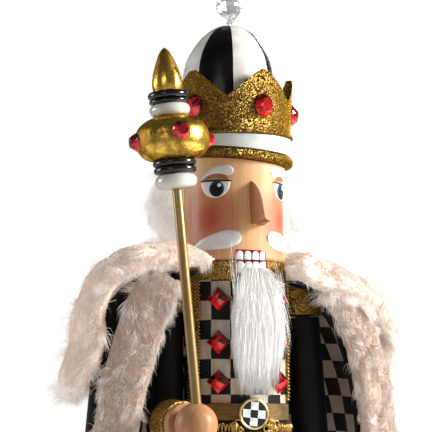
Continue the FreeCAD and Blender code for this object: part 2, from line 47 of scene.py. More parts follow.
GRIP = np.array([-55.5, -75.5, 265.0])  # middle of the sceptre's hole
CHEEK = (math.radians(50), 0.4275)  # bearing and height of the middle of a cheek
BUCKLE_Z = 0.275
CLOTH_CELL = 0.0152  # check on the lining
TRIM_WIDTH = 35.0


# ---------- node graphs
class Graph:
    """A node tree and short names for its nodes. A number may be a value or a socket."""

    def __init__(self, tree):
        self.tree = tree

    def node(self, kind, attrs=None, **inputs):
        """Adds a node; inputs are sockets by name, or by number as i0, i1..."""
        made = self.tree.nodes.new("ShaderNode" + kind)
        for key, value in (attrs or {}).items():
            setattr(made, key, value)
        for key, value in inputs.items():
            socket = made.inputs[int(key[1:]) if key[1:].isdigit() else key.replace("_", " ")]
            if isinstance(value, bpy.types.NodeSocket):
                self.tree.links.new(value, socket)
            else:
                socket.default_value = value
        return made

    def calc(self, operation, a, b=0.0, c=0.0):
        return self.node("Math", {"operation": operation}, i0=a, i1=b, i2=c).outputs[0]

    add = partialmethod(calc, "ADD")
    sub = partialmethod(calc, "SUBTRACT")
    mul = partialmethod(calc, "MULTIPLY")
    div = partialmethod(calc, "DIVIDE")

    def blend(self, a, share, b, rest):
        """a and b in the given shares."""
        return self.calc("MULTIPLY_ADD", a, share, self.mul(b, rest))

    def distance(self, a, b):
        return self.calc("SQRT", self.add(self.mul(a, a), self.mul(b, b)))

    def bearing(self, x, y):
        """Angle about the figure's axis, in radians from the front."""
        return self.calc("ARCTAN2", x, self.mul(y, -1))

    def vector(self, operation, a, **others):
        return self.node("VectorMath", {"operation": operation}, i0=a, **others).outputs[0]

    def mix(self, factor, a, b):
        """Colour a where factor is 0 and b where it is 1."""
        a, b = ((*one, 1.0) if isinstance(one, tuple) else one for one in (a, b))
        return self.node("Mix", {"data_type": "RGBA"}, i0=factor, i6=a, i7=b).outputs[2]

    def ramp(self, factor, stops, how="LINEAR"):
        made = self.node("ValToRGB", Fac=factor)
        band = made.color_ramp
        band.interpolation = how
        while len(band.elements) < len(stops):
            band.elements.new(0.5)
        for element, (at, colour) in zip(band.elements, stops):
            element.position = at
            element.color = (*colour, 1) if isinstance(colour, tuple) else (colour, colour, colour, 1)
        return made.outputs[0]

    def place(self, stretch=(1, 1, 1)):
        """Object coordinates, which are the row frame's metres, scaled by stretch."""
        where = self.node("TexCoord").outputs["Object"]
        return self.node("Mapping", {"vector_type": "POINT"}, Vector=where, Scale=stretch).outputs[0]

    def noise(self, scale, detail=3.0, stretch=(1, 1, 1), rough=0.5):
        return self.node("TexNoise", Vector=self.place(stretch), Scale=scale, Detail=detail,
            Roughness=rough).outputs["Fac"]

    def xyz(self):
        return self.split(self.place())

    def split(self, vector):
        return self.node("SeparateXYZ", i0=vector).outputs

    def bump(self, height, strength, depth=0.0003):
        return self.node("Bump", Height=height, Strength=strength, Distance=depth).outputs[0]

    def checks(self, u, v, cell_u, cell_v, u0=0.0, v0=0.0):
        """0 or 1 on alternate squares of the plane (u, v)."""
        column = self.calc("FLOOR", self.div(self.sub(u, u0), cell_u))
        row = self.calc("FLOOR", self.div(self.sub(v, v0), cell_v))
        return self.calc("FLOORED_MODULO", self.add(column, row), 2.0)


class Finish(Graph):
    """A material with one Principled shader, whose sockets are named with _ for each space."""

    def __init__(self, name, roughness=0.5, metallic=0.0, coat=(0.0, 0.03), shine=0.5, **sockets):
        if name in bpy.data.materials:
            bpy.data.materials[name].name = name + "_plain"
        self.material = bpy.data.materials.new(name)
        self.material.use_nodes = True
        super().__init__(self.material.node_tree)
        self.shader = self.tree.nodes["Principled BSDF"]
        sockets |= {"Roughness": roughness, "Metallic": metallic, "Coat_Weight": coat[0],
            "Coat_Roughness": coat[1], "Specular_IOR_Level": shine}
        for key, value in sockets.items():
            self.shader.inputs[key.replace("_", " ")].default_value = value

    def wire(self, colour, normal=None, roughness=None):
        for socket, output in (("Base Color", colour), ("Normal", normal), ("Roughness", roughness)):
            if output is not None:
                self.tree.links.new(output, self.shader.inputs[socket])
        return self.material


# ---------- camera, floor and light
def placed(name, data):
    made = bpy.data.objects.new(name, data)
    bpy.context.scene.collection.objects.link(made)
    return made


def long_lens():
    """Camera 20 degrees round to his right, at waist height, turned up towards the chest; metres."""
    data = bpy.data.cameras.new("camera")
    data.lens = 145.8
    data.sensor_width = 36
    data.clip_end = 100
    bearing = math.radians(-20)
    camera = placed("camera", data)
    camera.location = (1.4 * math.sin(bearing), -1.4 * math.cos(bearing), 0.282)
    camera.rotation_euler = (math.radians(96.16), 0, bearing + math.radians(0.59))
    bpy.context.scene.camera = camera


def area_light(name, place, size, power, colour=(1, 1, 1)):
    """Round soft light, aimed at the figure's chest; metres."""
    data = bpy.data.lights.new(name, "AREA")
    data.shape = "DISK"
    data.size = size
    data.energy = power
    data.color = colour
    lamp = placed(name, data)
    lamp.location = place
    lamp.rotation_euler = (Vector(place) - Vector((0, 0, 0.42))).to_track_quat("Z", "Y").to_euler()


def white_world():
    """White to look at; its own light is stronger from below and from his left."""
    scene = bpy.context.scene
    scene.view_settings.view_transform = "Standard"
    scene.world = bpy.data.worlds.new("world")
    scene.world.use_nodes = True
    g = Graph(scene.world.node_tree)
    g.tree.nodes.clear()
    seen = g.node("Background", Color=(1, 1, 1, 1), Strength=1.0)
    ray = g.split(g.node("TexCoord").outputs["Generated"])
    glow = g.ramp(g.calc("MULTIPLY_ADD", ray[2], 0.5, 0.5), [(0.45, 0.42), (0.6, 0.14), (1.0, 0.1)])
    glow = g.mul(glow, g.calc("MULTIPLY_ADD", ray[0], 0.45, 1.0))
    cast = g.node("Background", Color=(1, 0.98, 0.96, 1), Strength=glow)
    both = g.node("MixShader", i0=g.node("LightPath").outputs["Is Camera Ray"], i1=cast.outputs[0],
        i2=seen.outputs[0])
    g.node("OutputWorld", Surface=both.outputs[0])


def studio():
    long_lens()
    area_light("key", (1.5, -0.85, 1.05), 0.7, 70, (1.0, 0.98, 0.95))
    area_light("rim", (1.1, 1.1, 0.9), 0.9, 16)
    area_light("fill", (-1.5, -1.5, 1.1), 1.0, 5, (1.0, 0.97, 0.94))
    area_light("left_rim", (-1.6, 0.8, 0.8), 0.9, 13)
    white_world()
    mesh = bpy.data.meshes.new("floor")
    s = 3.0
    mesh.from_pydata([(-s, -s, 0), (s, -s, 0), (s, s, 0), (-s, s, 0)], [], [(0, 1, 2, 3)])
    floor = placed("floor", mesh)
    floor.location.z = -0.0002
    g = Finish("floor_paint", 0.6)
    grain = g.ramp(g.noise(30, 2), [(0, 0.84), (1, 0.9)])
    mesh.materials.append(g.wire(grain))


# ---------- materials
def glitter(name, grain, dark, middle, bright):
    """Glued glitter: flat grains, each with its own tilt and brightness."""
    g = Finish(name, 0.46, 1.0, Specular_Tint=(0.7, 0.5, 0.2, 1))
    cells = g.node("TexVoronoi", Vector=g.place(), Scale=1 / grain).outputs["Color"]
    tilt = g.vector("SCALE", g.vector("SUBTRACT", cells, i1=(0.5, 0.5, 0.5)), Scale=1.05)
    face = g.node("NewGeometry").outputs["Normal"]
    return g.wire(g.ramp(g.split(cells)[0], [(0, dark), (0.5, middle), (0.9, bright)]),
        g.vector("NORMALIZE", g.vector("ADD", face, i1=tilt)))


def wood_skin(name, light, dark, blush=False):
    """Lacquered turned wood with fine upright grain; the head has brushed-on red cheeks."""
    g = Finish(name, 0.45, coat=(0.1, 0.2), Subsurface_Weight=0.04,
        shine=0.3)
    streaks = g.noise(420, 5, (1, 1, 0.05), 0.6)
    clouds = g.noise(26, 3, (1, 1, 0.35))
    colour = g.ramp(g.add(g.mul(streaks, 0.55), g.mul(clouds, 0.45)), [(0.3, dark), (0.62, light)])
    if blush:
        x, y, z = g.xyz()
        beside = g.sub(g.bearing(g.calc("ABSOLUTE", x), y), CHEEK[0])
        far = g.distance(g.mul(beside, HEAD_R * MM), g.sub(z, CHEEK[1]))
        far = g.add(far, g.mul(g.sub(streaks, 0.5), 0.006))
        red = g.ramp(g.div(far, 0.036), [(0.08, 0.95), (0.5, 0.6), (1, 0.0)], "EASE")
        colour = g.mix(red, colour, (0.38, 0.055, 0.022))
    return g.wire(colour, g.bump(streaks, 0.12, 0.0004), g.ramp(streaks, [(0.3, 0.38), (0.7, 0.55)]))


def brushed_cream(g):
    """Cream squares with dragged brush marks in pink, ochre and grey."""
    drag = g.noise(150, 4, (1, 1, 0.12), 0.65)
    cross = g.noise(260, 3, (0.2, 0.2, 1))
    tint = g.noise(48, 2)
    cream = g.ramp(drag, [(0.3, (0.28, 0.22, 0.16)), (0.5, (0.46, 0.39, 0.31)), (0.7, (0.56, 0.51, 0.43))])
    cream = g.mix(g.ramp(tint, [(0.52, 0.0), (0.66, 0.55)]), cream, (0.42, 0.23, 0.16))
    return g.mix(g.ramp(cross, [(0.55, 0.0), (0.75, 0.35)]), cream, (0.56, 0.53, 0.47))


def paint_checks(name, radius, cell_u, cell_v, u0, v0, plain_below=None, stretch_below=None):
    """Hand-painted squares on a drum; the rows under stretch_below are shorter."""
    g = Finish(name, 0.6, shine=0.15)
    x, y, z = g.xyz()
    wobble = g.mul(g.sub(g.noise(120, 2), 0.5), 0.0012)
    u, v = g.mul(g.bearing(x, y), radius), z
    if stretch_below is not None:
        under = g.calc("MINIMUM", g.sub(v, stretch_below), 0.0)
        v = g.calc("MULTIPLY_ADD", under, 0.2218, v)
    squares = g.checks(g.add(u, wobble), g.add(v, wobble), cell_u, cell_v, u0, v0)
    black = g.ramp(g.noise(90, 3), [(0.3, (0.004, 0.004, 0.005)), (0.7, (0.012, 0.011, 0.011))])
    colour = g.mix(squares, black, brushed_cream(g))
    if plain_below is not None:
        colour = g.mix(g.calc("LESS_THAN", z, plain_below), black, colour)
    return g.wire(colour, g.bump(g.noise(300, 3, (1, 1, 0.15)), 0.15))


def lacquer(name, colour, rough, worn, coat=0.6, shine=0.5):
    g = Finish(name, rough, coat=(coat, 0.08), shine=shine)
    cloud = g.noise(60, 4)
    return g.wire(g.ramp(cloud, [(0.3, worn), (0.65, colour)]), g.bump(g.noise(240, 3), 0.06),
        g.ramp(cloud, [(0.3, rough * 0.8), (0.7, min(1.0, rough * 1.3))]))


def gold_leaf(name):
    """Polished metal leaf with dark cracks and dull patches."""
    g = Finish(name, 0.2, 1.0, Specular_Tint=(0.9, 0.75, 0.4, 1))
    warp = g.node("TexNoise", Vector=g.place(), Scale=95, Detail=4).outputs["Color"]
    away = g.vector("MULTIPLY_ADD", warp, i1=(0.011, 0.011, 0.006), i2=g.place())
    cracks = g.node("TexVoronoi", {"feature": "DISTANCE_TO_EDGE"}, Vector=away, Scale=125)
    line = g.ramp(cracks.outputs["Distance"], [(0.0, 0.9), (0.03, 0.4), (0.07, 0.0)])
    line = g.mul(line, g.ramp(g.noise(110, 3), [(0.36, 0.0), (0.52, 1.0)]))
    patch = g.ramp(g.noise(70, 5, (1, 1, 1), 0.65), [(0.43, 0.0), (0.56, 1.0)])
    dull = g.calc("MAXIMUM", g.mul(line, 0.85), g.mul(patch, 0.85))
    return g.wire(g.mix(dull, (0.86, 0.55, 0.1), (0.17, 0.08, 0.016)),
        g.bump(g.noise(170, 4), 0.4, 0.0007), g.ramp(dull, [(0, 0.17), (1, 0.55)]))


def metal_thread(name, colour, dark, scale=1500):
    g = Finish(name, 0.3, 0.95)
    grain = g.noise(scale, 2)
    return g.wire(g.ramp(grain, [(0.3, dark), (0.62, colour)]), g.bump(grain, 0.35))


def aged_metal(name, colour, dark):
    g = Finish(name, 0.36, 0.9)
    wear = g.noise(70, 4, (1, 1, 0.25))
    return g.wire(g.ramp(wear, [(0.35, dark), (0.6, colour)]),
        roughness=g.ramp(wear, [(0.35, 0.48), (0.6, 0.32)]))


def ribbon(name):
    g = Finish(name, 0.38, 0.55, Sheen_Weight=0.3)
    ribs = g.noise(900, 2, (0.12, 0.12, 1))
    both = g.blend(ribs, 0.6, g.noise(45, 2), 0.4)
    return g.wire(g.ramp(both, [(0.35, (0.1, 0.052, 0.011)), (0.62, (0.27, 0.16, 0.042))]),
        g.bump(ribs, 0.3))


def gem_red(name):
    """Foil-backed stone with painted reflections: its tone changes from facet to facet with each facet's
    direction.
    """
    g = Finish(name, 0.05, coat=(0.35, 0.02), IOR=1.55)
    face = g.node("NewGeometry").outputs["True Normal"]
    facets = g.node("TexVoronoi", Vector=face, Scale=3.1).outputs["Color"]
    inner = g.node("TexVoronoi", Vector=g.place(), Scale=210).outputs["Color"]
    painted_facet_light = g.blend(g.split(facets)[0], 0.5, g.split(inner)[1], 0.28)
    # Painted light: facets that face down are lighter, facets that face up darker.
    painted_facet_light = g.calc("MULTIPLY_ADD", g.split(face)[2], -0.3, g.add(painted_facet_light, 0.1))
    return g.wire(g.ramp(painted_facet_light, [(0.28, (0.014, 0.0, 0.001)), (0.48, (0.17, 0.0, 0.004)),
        (0.68, (0.8, 0.012, 0.016))]))


def crystal(name):
    """Clear glass, with a faint painted glow of its own so that the drop stays bright."""
    g = Finish(name, 0.01, Transmission_Weight=0.95, IOR=1.38, Emission_Strength=0.07)
    return g.wire(g.ramp(g.noise(160, 2), [(0.35, (0.9, 0.91, 0.92)), (0.65, (1, 1, 1))]))


def fur_coat(name, pale, warm, root_shade, scale, glow):
    """Fur fibre with painted shade: darker towards its root, as if shaded deep in the pile; a faint painted
    glow stands for light scattered between the hairs.
    """
    g = Finish(name, 0.7, Sheen_Weight=0.3, Sheen_Roughness=0.5, shine=0.2,
        Emission_Strength=glow)
    both = g.blend(g.noise(scale, 3), 0.6, g.noise(500, 1), 0.4)
    tint = g.ramp(both, [(0.36, warm), (0.56, pale)])
    out = g.node("Attribute", {"attribute_name": "tip"}).outputs["Fac"]
    colour = g.mix(g.ramp(out, [(0.0, 0.0), (0.85, 1.0)]), root_shade, tint)
    g.tree.links.new(colour, g.shader.inputs["Emission Color"])
    return g.wire(colour)


def velvet(name):
    g = Finish(name, 0.95, Sheen_Weight=0.05, Sheen_Roughness=0.35, shine=0.05)
    pile = g.noise(800, 3)
    both = g.blend(pile, 0.5, g.noise(24, 3), 0.5)
    return g.wire(g.ramp(both, [(0.35, (0.002, 0.002, 0.003)), (0.65, (0.011, 0.010, 0.012))]),
        g.bump(pile, 0.3, 0.0006))


def lining_cloth(name):
    """Woven lining with checks laid along the cloth's own length and width."""
    g = Finish(name, 0.75, Sheen_Weight=0.12)
    cloth = g.node("UVMap", {"uv_map": "cloth"}).outputs[0]
    u, v, _ = g.split(cloth)
    squares = g.checks(u, v, CLOTH_CELL, CLOTH_CELL, 0.0, 0.002)
    weave = g.node("TexWave", {"wave_type": "BANDS", "bands_direction": "Y"}, Vector=cloth,
        Scale=420.0, Distortion=0.6).outputs["Fac"]
    cream = g.mix(g.mul(weave, 0.35), (0.78, 0.68, 0.58), (0.5, 0.41, 0.34))
    cream = g.mix(g.ramp(g.noise(60, 3), [(0.45, 0.0), (0.65, 0.5)]), cream, (0.62, 0.42, 0.32))
    return g.wire(g.mix(squares, (0.006, 0.006, 0.007), cream), g.bump(weave, 0.3))


def enamel(name, colour, shade, rough=0.25):
    g = Finish(name, rough, coat=(0.5, 0.1))
    return g.wire(g.ramp(g.noise(160, 3), [(0.35, shade), (0.6, colour)]))


def eye_paint(name, middle_s, middle_z):
    """Black pupil and blue iris, lighter at its lower edge."""
    g = Finish(name, 0.5, coat=(0.15, 0.3), shine=0.2)
    x, y, z = g.xyz()
    across = g.sub(g.mul(g.bearing(x, y), HEAD_R * MM), middle_s * MM)
    up = g.sub(z, middle_z * MM)
    far = g.add(g.distance(across, up), g.mul(up, 0.16))
    return g.wire(g.ramp(g.div(far, 0.006), [
        (0.0, (0.002, 0.002, 0.003)), (0.76, (0.002, 0.003, 0.005)), (0.85, (0.002, 0.035, 0.08)),
        (0.95, (0.004, 0.09, 0.17)), (1.0, (0.003, 0.045, 0.09))]))


def dome_gores(name):
    """Eight gores about the dome's own axis; one seam is bowed."""
    g = Finish(name, 0.25, coat=(0.12, 0.05), shine=0.18)
    x, y, z = g.xyz()
    around = g.bearing(g.add(x, 0.0034), g.sub(y, 0.0012))
    wobble = g.mul(g.sub(g.noise(90, 2), 0.5), 0.03)
    beside = g.div(g.sub(around, math.radians(34)), math.radians(14))
    bowed = g.mul(g.calc("EXPONENT", g.mul(g.mul(beside, beside), -1)), math.radians(-4.5))
    turned = g.add(g.add(around, g.add(wobble, bowed)), math.radians(60))
    gore = g.calc("FLOORED_MODULO", g.calc("FLOOR", g.div(turned, math.radians(45))), 2.0)
    cloud = g.noise(55, 4)
    white = g.ramp(cloud, [(0.35, (0.62, 0.61, 0.57)), (0.62, (0.84, 0.83, 0.79))])
    black = g.ramp(cloud, [(0.35, (0.002, 0.002, 0.0025)), (0.7, (0.007, 0.0065, 0.007))])
    return g.wire(g.mix(gore, black, white), g.bump(g.noise(210, 3), 0.08, 0.0004))


def buckle_checks(name):
    """Checks turned a little, with one square at the buckle's middle."""
    g = Finish(name, 0.2, coat=(0.8, 0.05))
    x, _, z = g.xyz()
    turn, cell = math.radians(4.5), 0.0062
    z = g.sub(z, BUCKLE_Z)
    u = g.add(g.mul(x, math.cos(turn)), g.mul(z, -math.sin(turn)))
    v = g.add(g.mul(x, math.sin(turn)), g.mul(z, math.cos(turn)))
    squares = g.checks(u, v, cell, cell, -cell / 2, -cell / 2)
    cloud = g.noise(260, 3)
    white = g.ramp(cloud, [(0.35, (0.5, 0.51, 0.5)), (0.6, (0.78, 0.79, 0.78))])
    return g.wire(g.mix(squares, (0.006, 0.006, 0.008), white), g.bump(cloud, 0.12))


def all_finishes():
    vest_cell = 0.015676
    return {
        "glitter": glitter("gold_glitter", 0.00062, (0.045, 0.019, 0.003), (0.125, 0.064, 0.01),
            (0.36, 0.235, 0.062)),
        "fine_glitter": glitter("fine_glitter", 0.00058, (0.05, 0.022, 0.003), (0.22, 0.115, 0.018),
            (0.72, 0.48, 0.15)),
        "leaf": gold_leaf("gold_leaf"),
        "rod": aged_metal("rod_gold", (0.4, 0.285, 0.13), (0.24, 0.155, 0.06)),
        "thread": metal_thread("gold_thread", (0.85, 0.58, 0.17), (0.3, 0.16, 0.03)),
        "brass": metal_thread("brass_rim", (0.86, 0.68, 0.34), (0.6, 0.42, 0.16), 500),
        "steel": metal_thread("steel_pin", (0.7, 0.7, 0.72), (0.45, 0.45, 0.47), 500),
        "black": lacquer("black_lacquer", (0.003, 0.003, 0.0035), 0.16, (0.006, 0.0055, 0.0055), 0.3, 0.35),
        "satin": lacquer("black_satin", (0.002, 0.002, 0.0025), 0.45, (0.005, 0.005, 0.0055), 0.0, 0.15),
        "white": lacquer("white_gloss", (0.64, 0.63, 0.59), 0.2, (0.5, 0.49, 0.45)),
        "band": lacquer("band_white", (0.6, 0.63, 0.6), 0.3, (0.5, 0.53, 0.51), 0.2),
        "cream": lacquer("cream_satin", (0.72, 0.66, 0.55), 0.4, (0.6, 0.52, 0.42), 0.2),
        "felt": velvet("felt_black"),
        "velvet": velvet("cape_velvet"),
        "wood": wood_skin("turned_wood", (0.52, 0.27, 0.13), (0.3, 0.135, 0.055)),
        "skin": wood_skin("face_wood", (0.7, 0.405, 0.205), (0.56, 0.285, 0.13), True),
        # The nose is the face's wood painted much darker: painted shade on the nose.
        "nose": wood_skin("nose_wood_painted_shade", (0.4, 0.165, 0.055), (0.25, 0.09, 0.03)),
        "bare": wood_skin("bare_wood", (0.66, 0.47, 0.28), (0.5, 0.33, 0.18)),
        "vest": paint_checks("vest_checks", 0.0412, vest_cell, 0.01515, vest_cell - 0.0015, 0.3022,
            stretch_below=0.3022),
        "skirt": paint_checks("skirt_checks", 0.0485, 0.0127, 0.0104, 0.0, 0.2154, plain_below=0.2362),
        "ribbon": ribbon("bronze_ribbon"),
        "ruby": gem_red("ruby_stone"),
        "crystal": crystal("crystal_glass"),
        "fur": fur_coat("cream_fur", (0.99, 0.98, 0.96), (0.98, 0.93, 0.88), (0.68, 0.54, 0.45), 38, 0.36),
        # Darker copy of cream_fur for the trims, with darker roots and less glow: painted shade for the
        # trims under the collar.
        "trim_fur": fur_coat("trim_fur_painted_shade", (0.98, 0.95, 0.91), (0.9, 0.82, 0.75), (0.46, 0.33, 0.26),
            38, 0.21),
        "undercoat": fur_coat("fur_undercoat", (0.76, 0.64, 0.56), (0.68, 0.55, 0.47), (0.7, 0.58, 0.5),
            60, 0.1),
        # hair_fur is white_fur with a stronger painted glow, which lights the hair where it is in shade.
        "hair_fur": fur_coat("hair_fur", (0.98, 0.965, 0.94), (0.95, 0.93, 0.9), (0.79, 0.75, 0.7), 30, 0.3),
        "white_fur": fur_coat("white_fur", (0.98, 0.98, 0.98), (0.95, 0.945, 0.94), (0.8, 0.785, 0.77),
            30, 0.13),
        "eye_white": enamel("eye_white", (0.78, 0.77, 0.76), (0.68, 0.66, 0.64)),
        "hair_paint": enamel("hair_paint", (0.66, 0.67, 0.68), (0.62, 0.63, 0.64), 0.35),
        "ink": enamel("black_enamel", (0.006, 0.005, 0.005), (0.012, 0.01, 0.009)),
        "lid": enamel("lid_paint", (0.36, 0.15, 0.06), (0.25, 0.09, 0.035), 0.3),
        "red": enamel("gum_red", (0.32, 0.008, 0.012), (0.2, 0.004, 0.008)),
        "tooth": enamel("tooth_white", (0.86, 0.85, 0.84), (0.74, 0.72, 0.72), 0.2),
        "lining": lining_cloth("check_lining"),
        "buckle": buckle_checks("buckle_checks"),
        "dome": dome_gores("dome_gores"),
    }


NODE_FINISHES = {
    "felt": "base_felt",
    "black": "base_plinth boot_foot_right boot_foot_left boot_shafts sceptre_black_rings_low "
    "sceptre_black_ring_high",
    "glitter": "base_step boot_cuffs crown_rim crown_wall crown_bead",
    "fine_glitter": "collar_band epaulet_right epaulet_left cuff_right cuff_left vest_braids",
    "cream": "legs",
    "bare": "leg_dowels arm_dowels crown_dowel",
    "skirt": "coat_skirt",
    "satin": "torso upper_arm_right upper_arm_left forearm_right jaw_lever",
    "steel": "pivot_pin finial_pin",
    "vest": "vest",
    "ribbon": "belt",
    "thread": "skirt_braid belt_braid",
    "buckle": "buckle",
    "brass": "buckle_rim",
    "wood": "hand_right hand_left wrists",
    "skin": "head",
    "band": "crown_band",
    "dome": "dome",
    "crystal": "finial_crystal",
    "rod": "sceptre_rod",
    "white": "sceptre_white_ring_low sceptre_white_ring_high",
    "leaf": "sceptre_orb sceptre_tip",
}


def finish_nodes(m):
    for finish, names in NODE_FINISHES.items():
        for name in names.split():
            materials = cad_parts[name].data.materials
            materials.clear()
            materials.append(m[finish])


# ---------- mesh helpers
def ride(name, mesh, body, material, replaces=()):
    mesh.materials.append(material)
    made = placed(name, mesh)
    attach(made, body)
    if replaces:
        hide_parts(*replaces)
    return made


def piece(name, verts, faces, body, slot, material, smooth=True, replaces=()):
    mesh = bpy.data.meshes.new(name)
    verts = np.asarray(verts, dtype=np.float64) * MM
    mesh.from_pydata(verts.tolist(), [], [tuple(int(i) for i in f) for f in faces])
    mesh.validate()
    mesh.update()
    if smooth:
        mesh.shade_smooth()
    return ride(name, mesh, body, material, replaces)


def circle(count):
    """Angles at equal steps round a whole turn, in radians."""
    return np.linspace(0, 2 * math.pi, count, endpoint=False)


def unit(v):
    return v / np.maximum(1e-9, np.linalg.norm(v, axis=-1, keepdims=True))


def drum(radius, bearing, z):
    """Point, or row of points, at a bearing in degrees from the front."""
    a = np.radians(bearing)
    return np.stack([radius * np.sin(a), -radius * np.cos(a), z + 0.0 * a], axis=-1)


def smooth_step(x):
    x = np.clip(x, 0, 1)
    return x * x * (3 - 2 * x)


def travelled(points, axis=0):
    """Length along the points from the first one to each."""
    steps = np.cumsum(np.linalg.norm(np.diff(points, axis=axis), axis=-1), axis=axis)
    return np.concatenate([np.zeros_like(np.take(steps, [0], axis)), steps], axis=axis)


def at_lengths(points, lengths):
    along = travelled(points)
    return np.stack([np.interp(lengths, along, points[:, k]) for k in range(points.shape[1])], axis=1)


def spline(points, count):
    """Equal steps along a centripetal Catmull-Rom curve through the rows."""
    p = np.asarray(points, dtype=float)
    ends = np.vstack([2 * p[0] - p[1], p, 2 * p[-1] - p[-2]])
    out = []
    for i in range(1, len(ends) - 2):
        four = ends[i - 1:i + 3]
        t = [0.0]
        for a, b in zip(four, four[1:]):
            t.append(t[-1] + max(1e-6, np.linalg.norm(b - a)) ** 0.5)
        for u in np.linspace(t[1], t[2], 24, endpoint=False):
            level = list(four)
            for reach, first in ((1, 0), (2, 0), (1, 1)):
                knots = [(t[k + first], t[k + first + reach]) for k in range(len(level) - 1)]
                level = [((hi - u) * a + (u - lo) * b) / (hi - lo)
                    for (lo, hi), a, b in zip(knots, level, level[1:])]
            out.append(level[0])
    out = np.array(out + [p[-1]])
    return at_lengths(out, np.linspace(0, travelled(out)[-1], count))


def grid_of(rings, rows, cols):
    across = [spline(ring, cols) for ring in rings]
    columns = [spline([line[j] for line in across], rows) for j in range(cols)]
    return np.array(columns).transpose(1, 0, 2)


def grid_normals(grid):
    return unit(np.cross(np.gradient(grid, axis=1), np.gradient(grid, axis=0)))


def quads(rows, cols, closed=False):
    """Faces of points stored row by row; closed joins the last column to the first."""
    return [(i * cols + j, i * cols + (j + 1) % cols, (i + 1) * cols + (j + 1) % cols, (i + 1) * cols + j)
        for i in range(rows - 1) for j in range(cols if closed else cols - 1)]


def closed_sheet(outer, inner):
    """Vertices and quads of a closed shell between two grids of equal size."""
    rows, cols = outer.shape[:2]
    half = rows * cols
    faces = []
    for a, b, c, d in quads(rows, cols):
        faces += [(a, d, c, b), (a + half, b + half, c + half, d + half)]
    rim = [*range(cols), *range(2 * cols - 1, half, cols)]
    rim += [*range(half - 2, half - cols - 1, -1), *range(half - 2 * cols, 0, -cols)]
    faces += [(a, b, b + half, a + half) for a, b in zip(rim, rim[1:] + rim[:1])]
    return np.concatenate([outer.reshape(-1, 3), inner.reshape(-1, 3)]), faces


def around_path(tangent, guide, sides):
    """Unit offsets round each point of a path, the first one square to guide."""
    side = unit(np.cross(tangent, guide))
    a = 2 * math.pi * np.arange(sides)[:, None] / sides
    return np.cos(a) * side[:, None] + np.sin(a) * np.cross(tangent, side)[:, None]


def tube(points, radius, sides):
    p = np.asarray(points, dtype=float)
    tangent = unit(np.gradient(p, axis=0))
    rings = p[:, None] + radius * around_path(tangent, (0.31, 0.52, 0.8), sides)
    last = (len(p) - 1) * sides
    ends = [tuple(range(sides - 1, -1, -1)), tuple(range(last, last + sides))]
    return rings.reshape(-1, 3), quads(len(p), sides, True) + ends


def joined(parts):
    verts, faces, base = [], [], 0
    for v, f in parts:
        verts.append(v)
        faces += [tuple(i + base for i in one) for one in f]
        base += len(v)
    return np.concatenate(verts), faces


# ---------- fur
def few(count):
    return count


def read(items, field, width, kind=np.float64):
    out = np.empty(len(items) * width, dtype=kind)
    items.foreach_get(field, out)
    return out.reshape(-1, width)


def sample_surface(made, count):
    """Area-weighted points and normals on a piece's faces."""
    mesh = made.data
    mesh.calc_loop_triangles()
    tri = read(mesh.loop_triangles, "vertices", 3, np.int64)
    corners = read(mesh.vertices, "co", 3)[tri] / MM
    a, b, c = corners.transpose(1, 0, 2)
    area = np.linalg.norm(np.cross(b - a, c - a), axis=1)
    pick = rng.choice(len(tri), count, p=area / area.sum())
    r1, r2 = np.sqrt(rng.random(count)), rng.random(count)
    w = np.stack([1 - r1, r1 * (1 - r2), r1 * r2], axis=1)[:, :, None]
    normals = read(mesh.vertices, "normal", 3)[tri[pick]]
    return (corners[pick] * w).sum(axis=1), unit((normals * w).sum(axis=1))


def strand_mesh(name, paths, widths, body, slot, material):
    """Closed three-sided strands; paths is (strand, ring, xyz), tips last."""
    count, rings = paths.shape[:2]
    off = around_path(unit(paths[:, 1] - paths[:, 0]), rng.normal(size=(count, 3)), 3)
    half = widths[:, None] * np.linspace(0.5, 0.31, rings - 1)
    sleeve = paths[:, :-1, None] + off[:, None] * half[:, :, None, None]
    verts = np.concatenate([sleeve.reshape(count, -1, 3), paths[:, -1:]], axis=1)
    per = verts.shape[1]
    top = per - 4
    tris = [(2, 1, 0)] + [(top + k, top + (k + 1) % 3, per - 1) for k in range(3)]
    base = np.arange(count)[:, None, None] * per
    tri_all = (np.array(tris)[None] + base).reshape(-1)
    quad_all = (np.array(quads(rings - 1, 3, True))[None] + base).reshape(-1)
    loops = np.concatenate([tri_all, quad_all]).astype(np.int32)
    totals = np.concatenate([np.full(len(tri_all) // 3, 3), np.full(len(quad_all) // 4, 4)])
    starts = np.concatenate([[0], np.cumsum(totals)[:-1]]).astype(np.int32)
    mesh = bpy.data.meshes.new(name)
    mesh.vertices.add(count * per)
    mesh.vertices.foreach_set("co", (verts * MM).reshape(-1))
    mesh.loops.add(len(loops))
    mesh.loops.foreach_set("vertex_index", loops)
    mesh.polygons.add(len(totals))
    mesh.polygons.foreach_set("loop_start", starts)
    mesh.update(calc_edges=True)
    # tip runs from 0 at the root to 1 at the tip, times a random tone for each strand; the fur material
    # paints the root end darker as painted shade.
    outward = np.repeat(np.linspace(0, 1, rings), [3] * (rings - 1) + [1])
    tip = mesh.attributes.new("tip", "FLOAT", "POINT")
    shade = rng.uniform(0.45, 1.0, (count, 1)) * outward
    tip.data.foreach_set("value", shade.reshape(-1).astype(np.float32))
    mesh.shade_smooth()
    return ride(name, mesh, body, material)


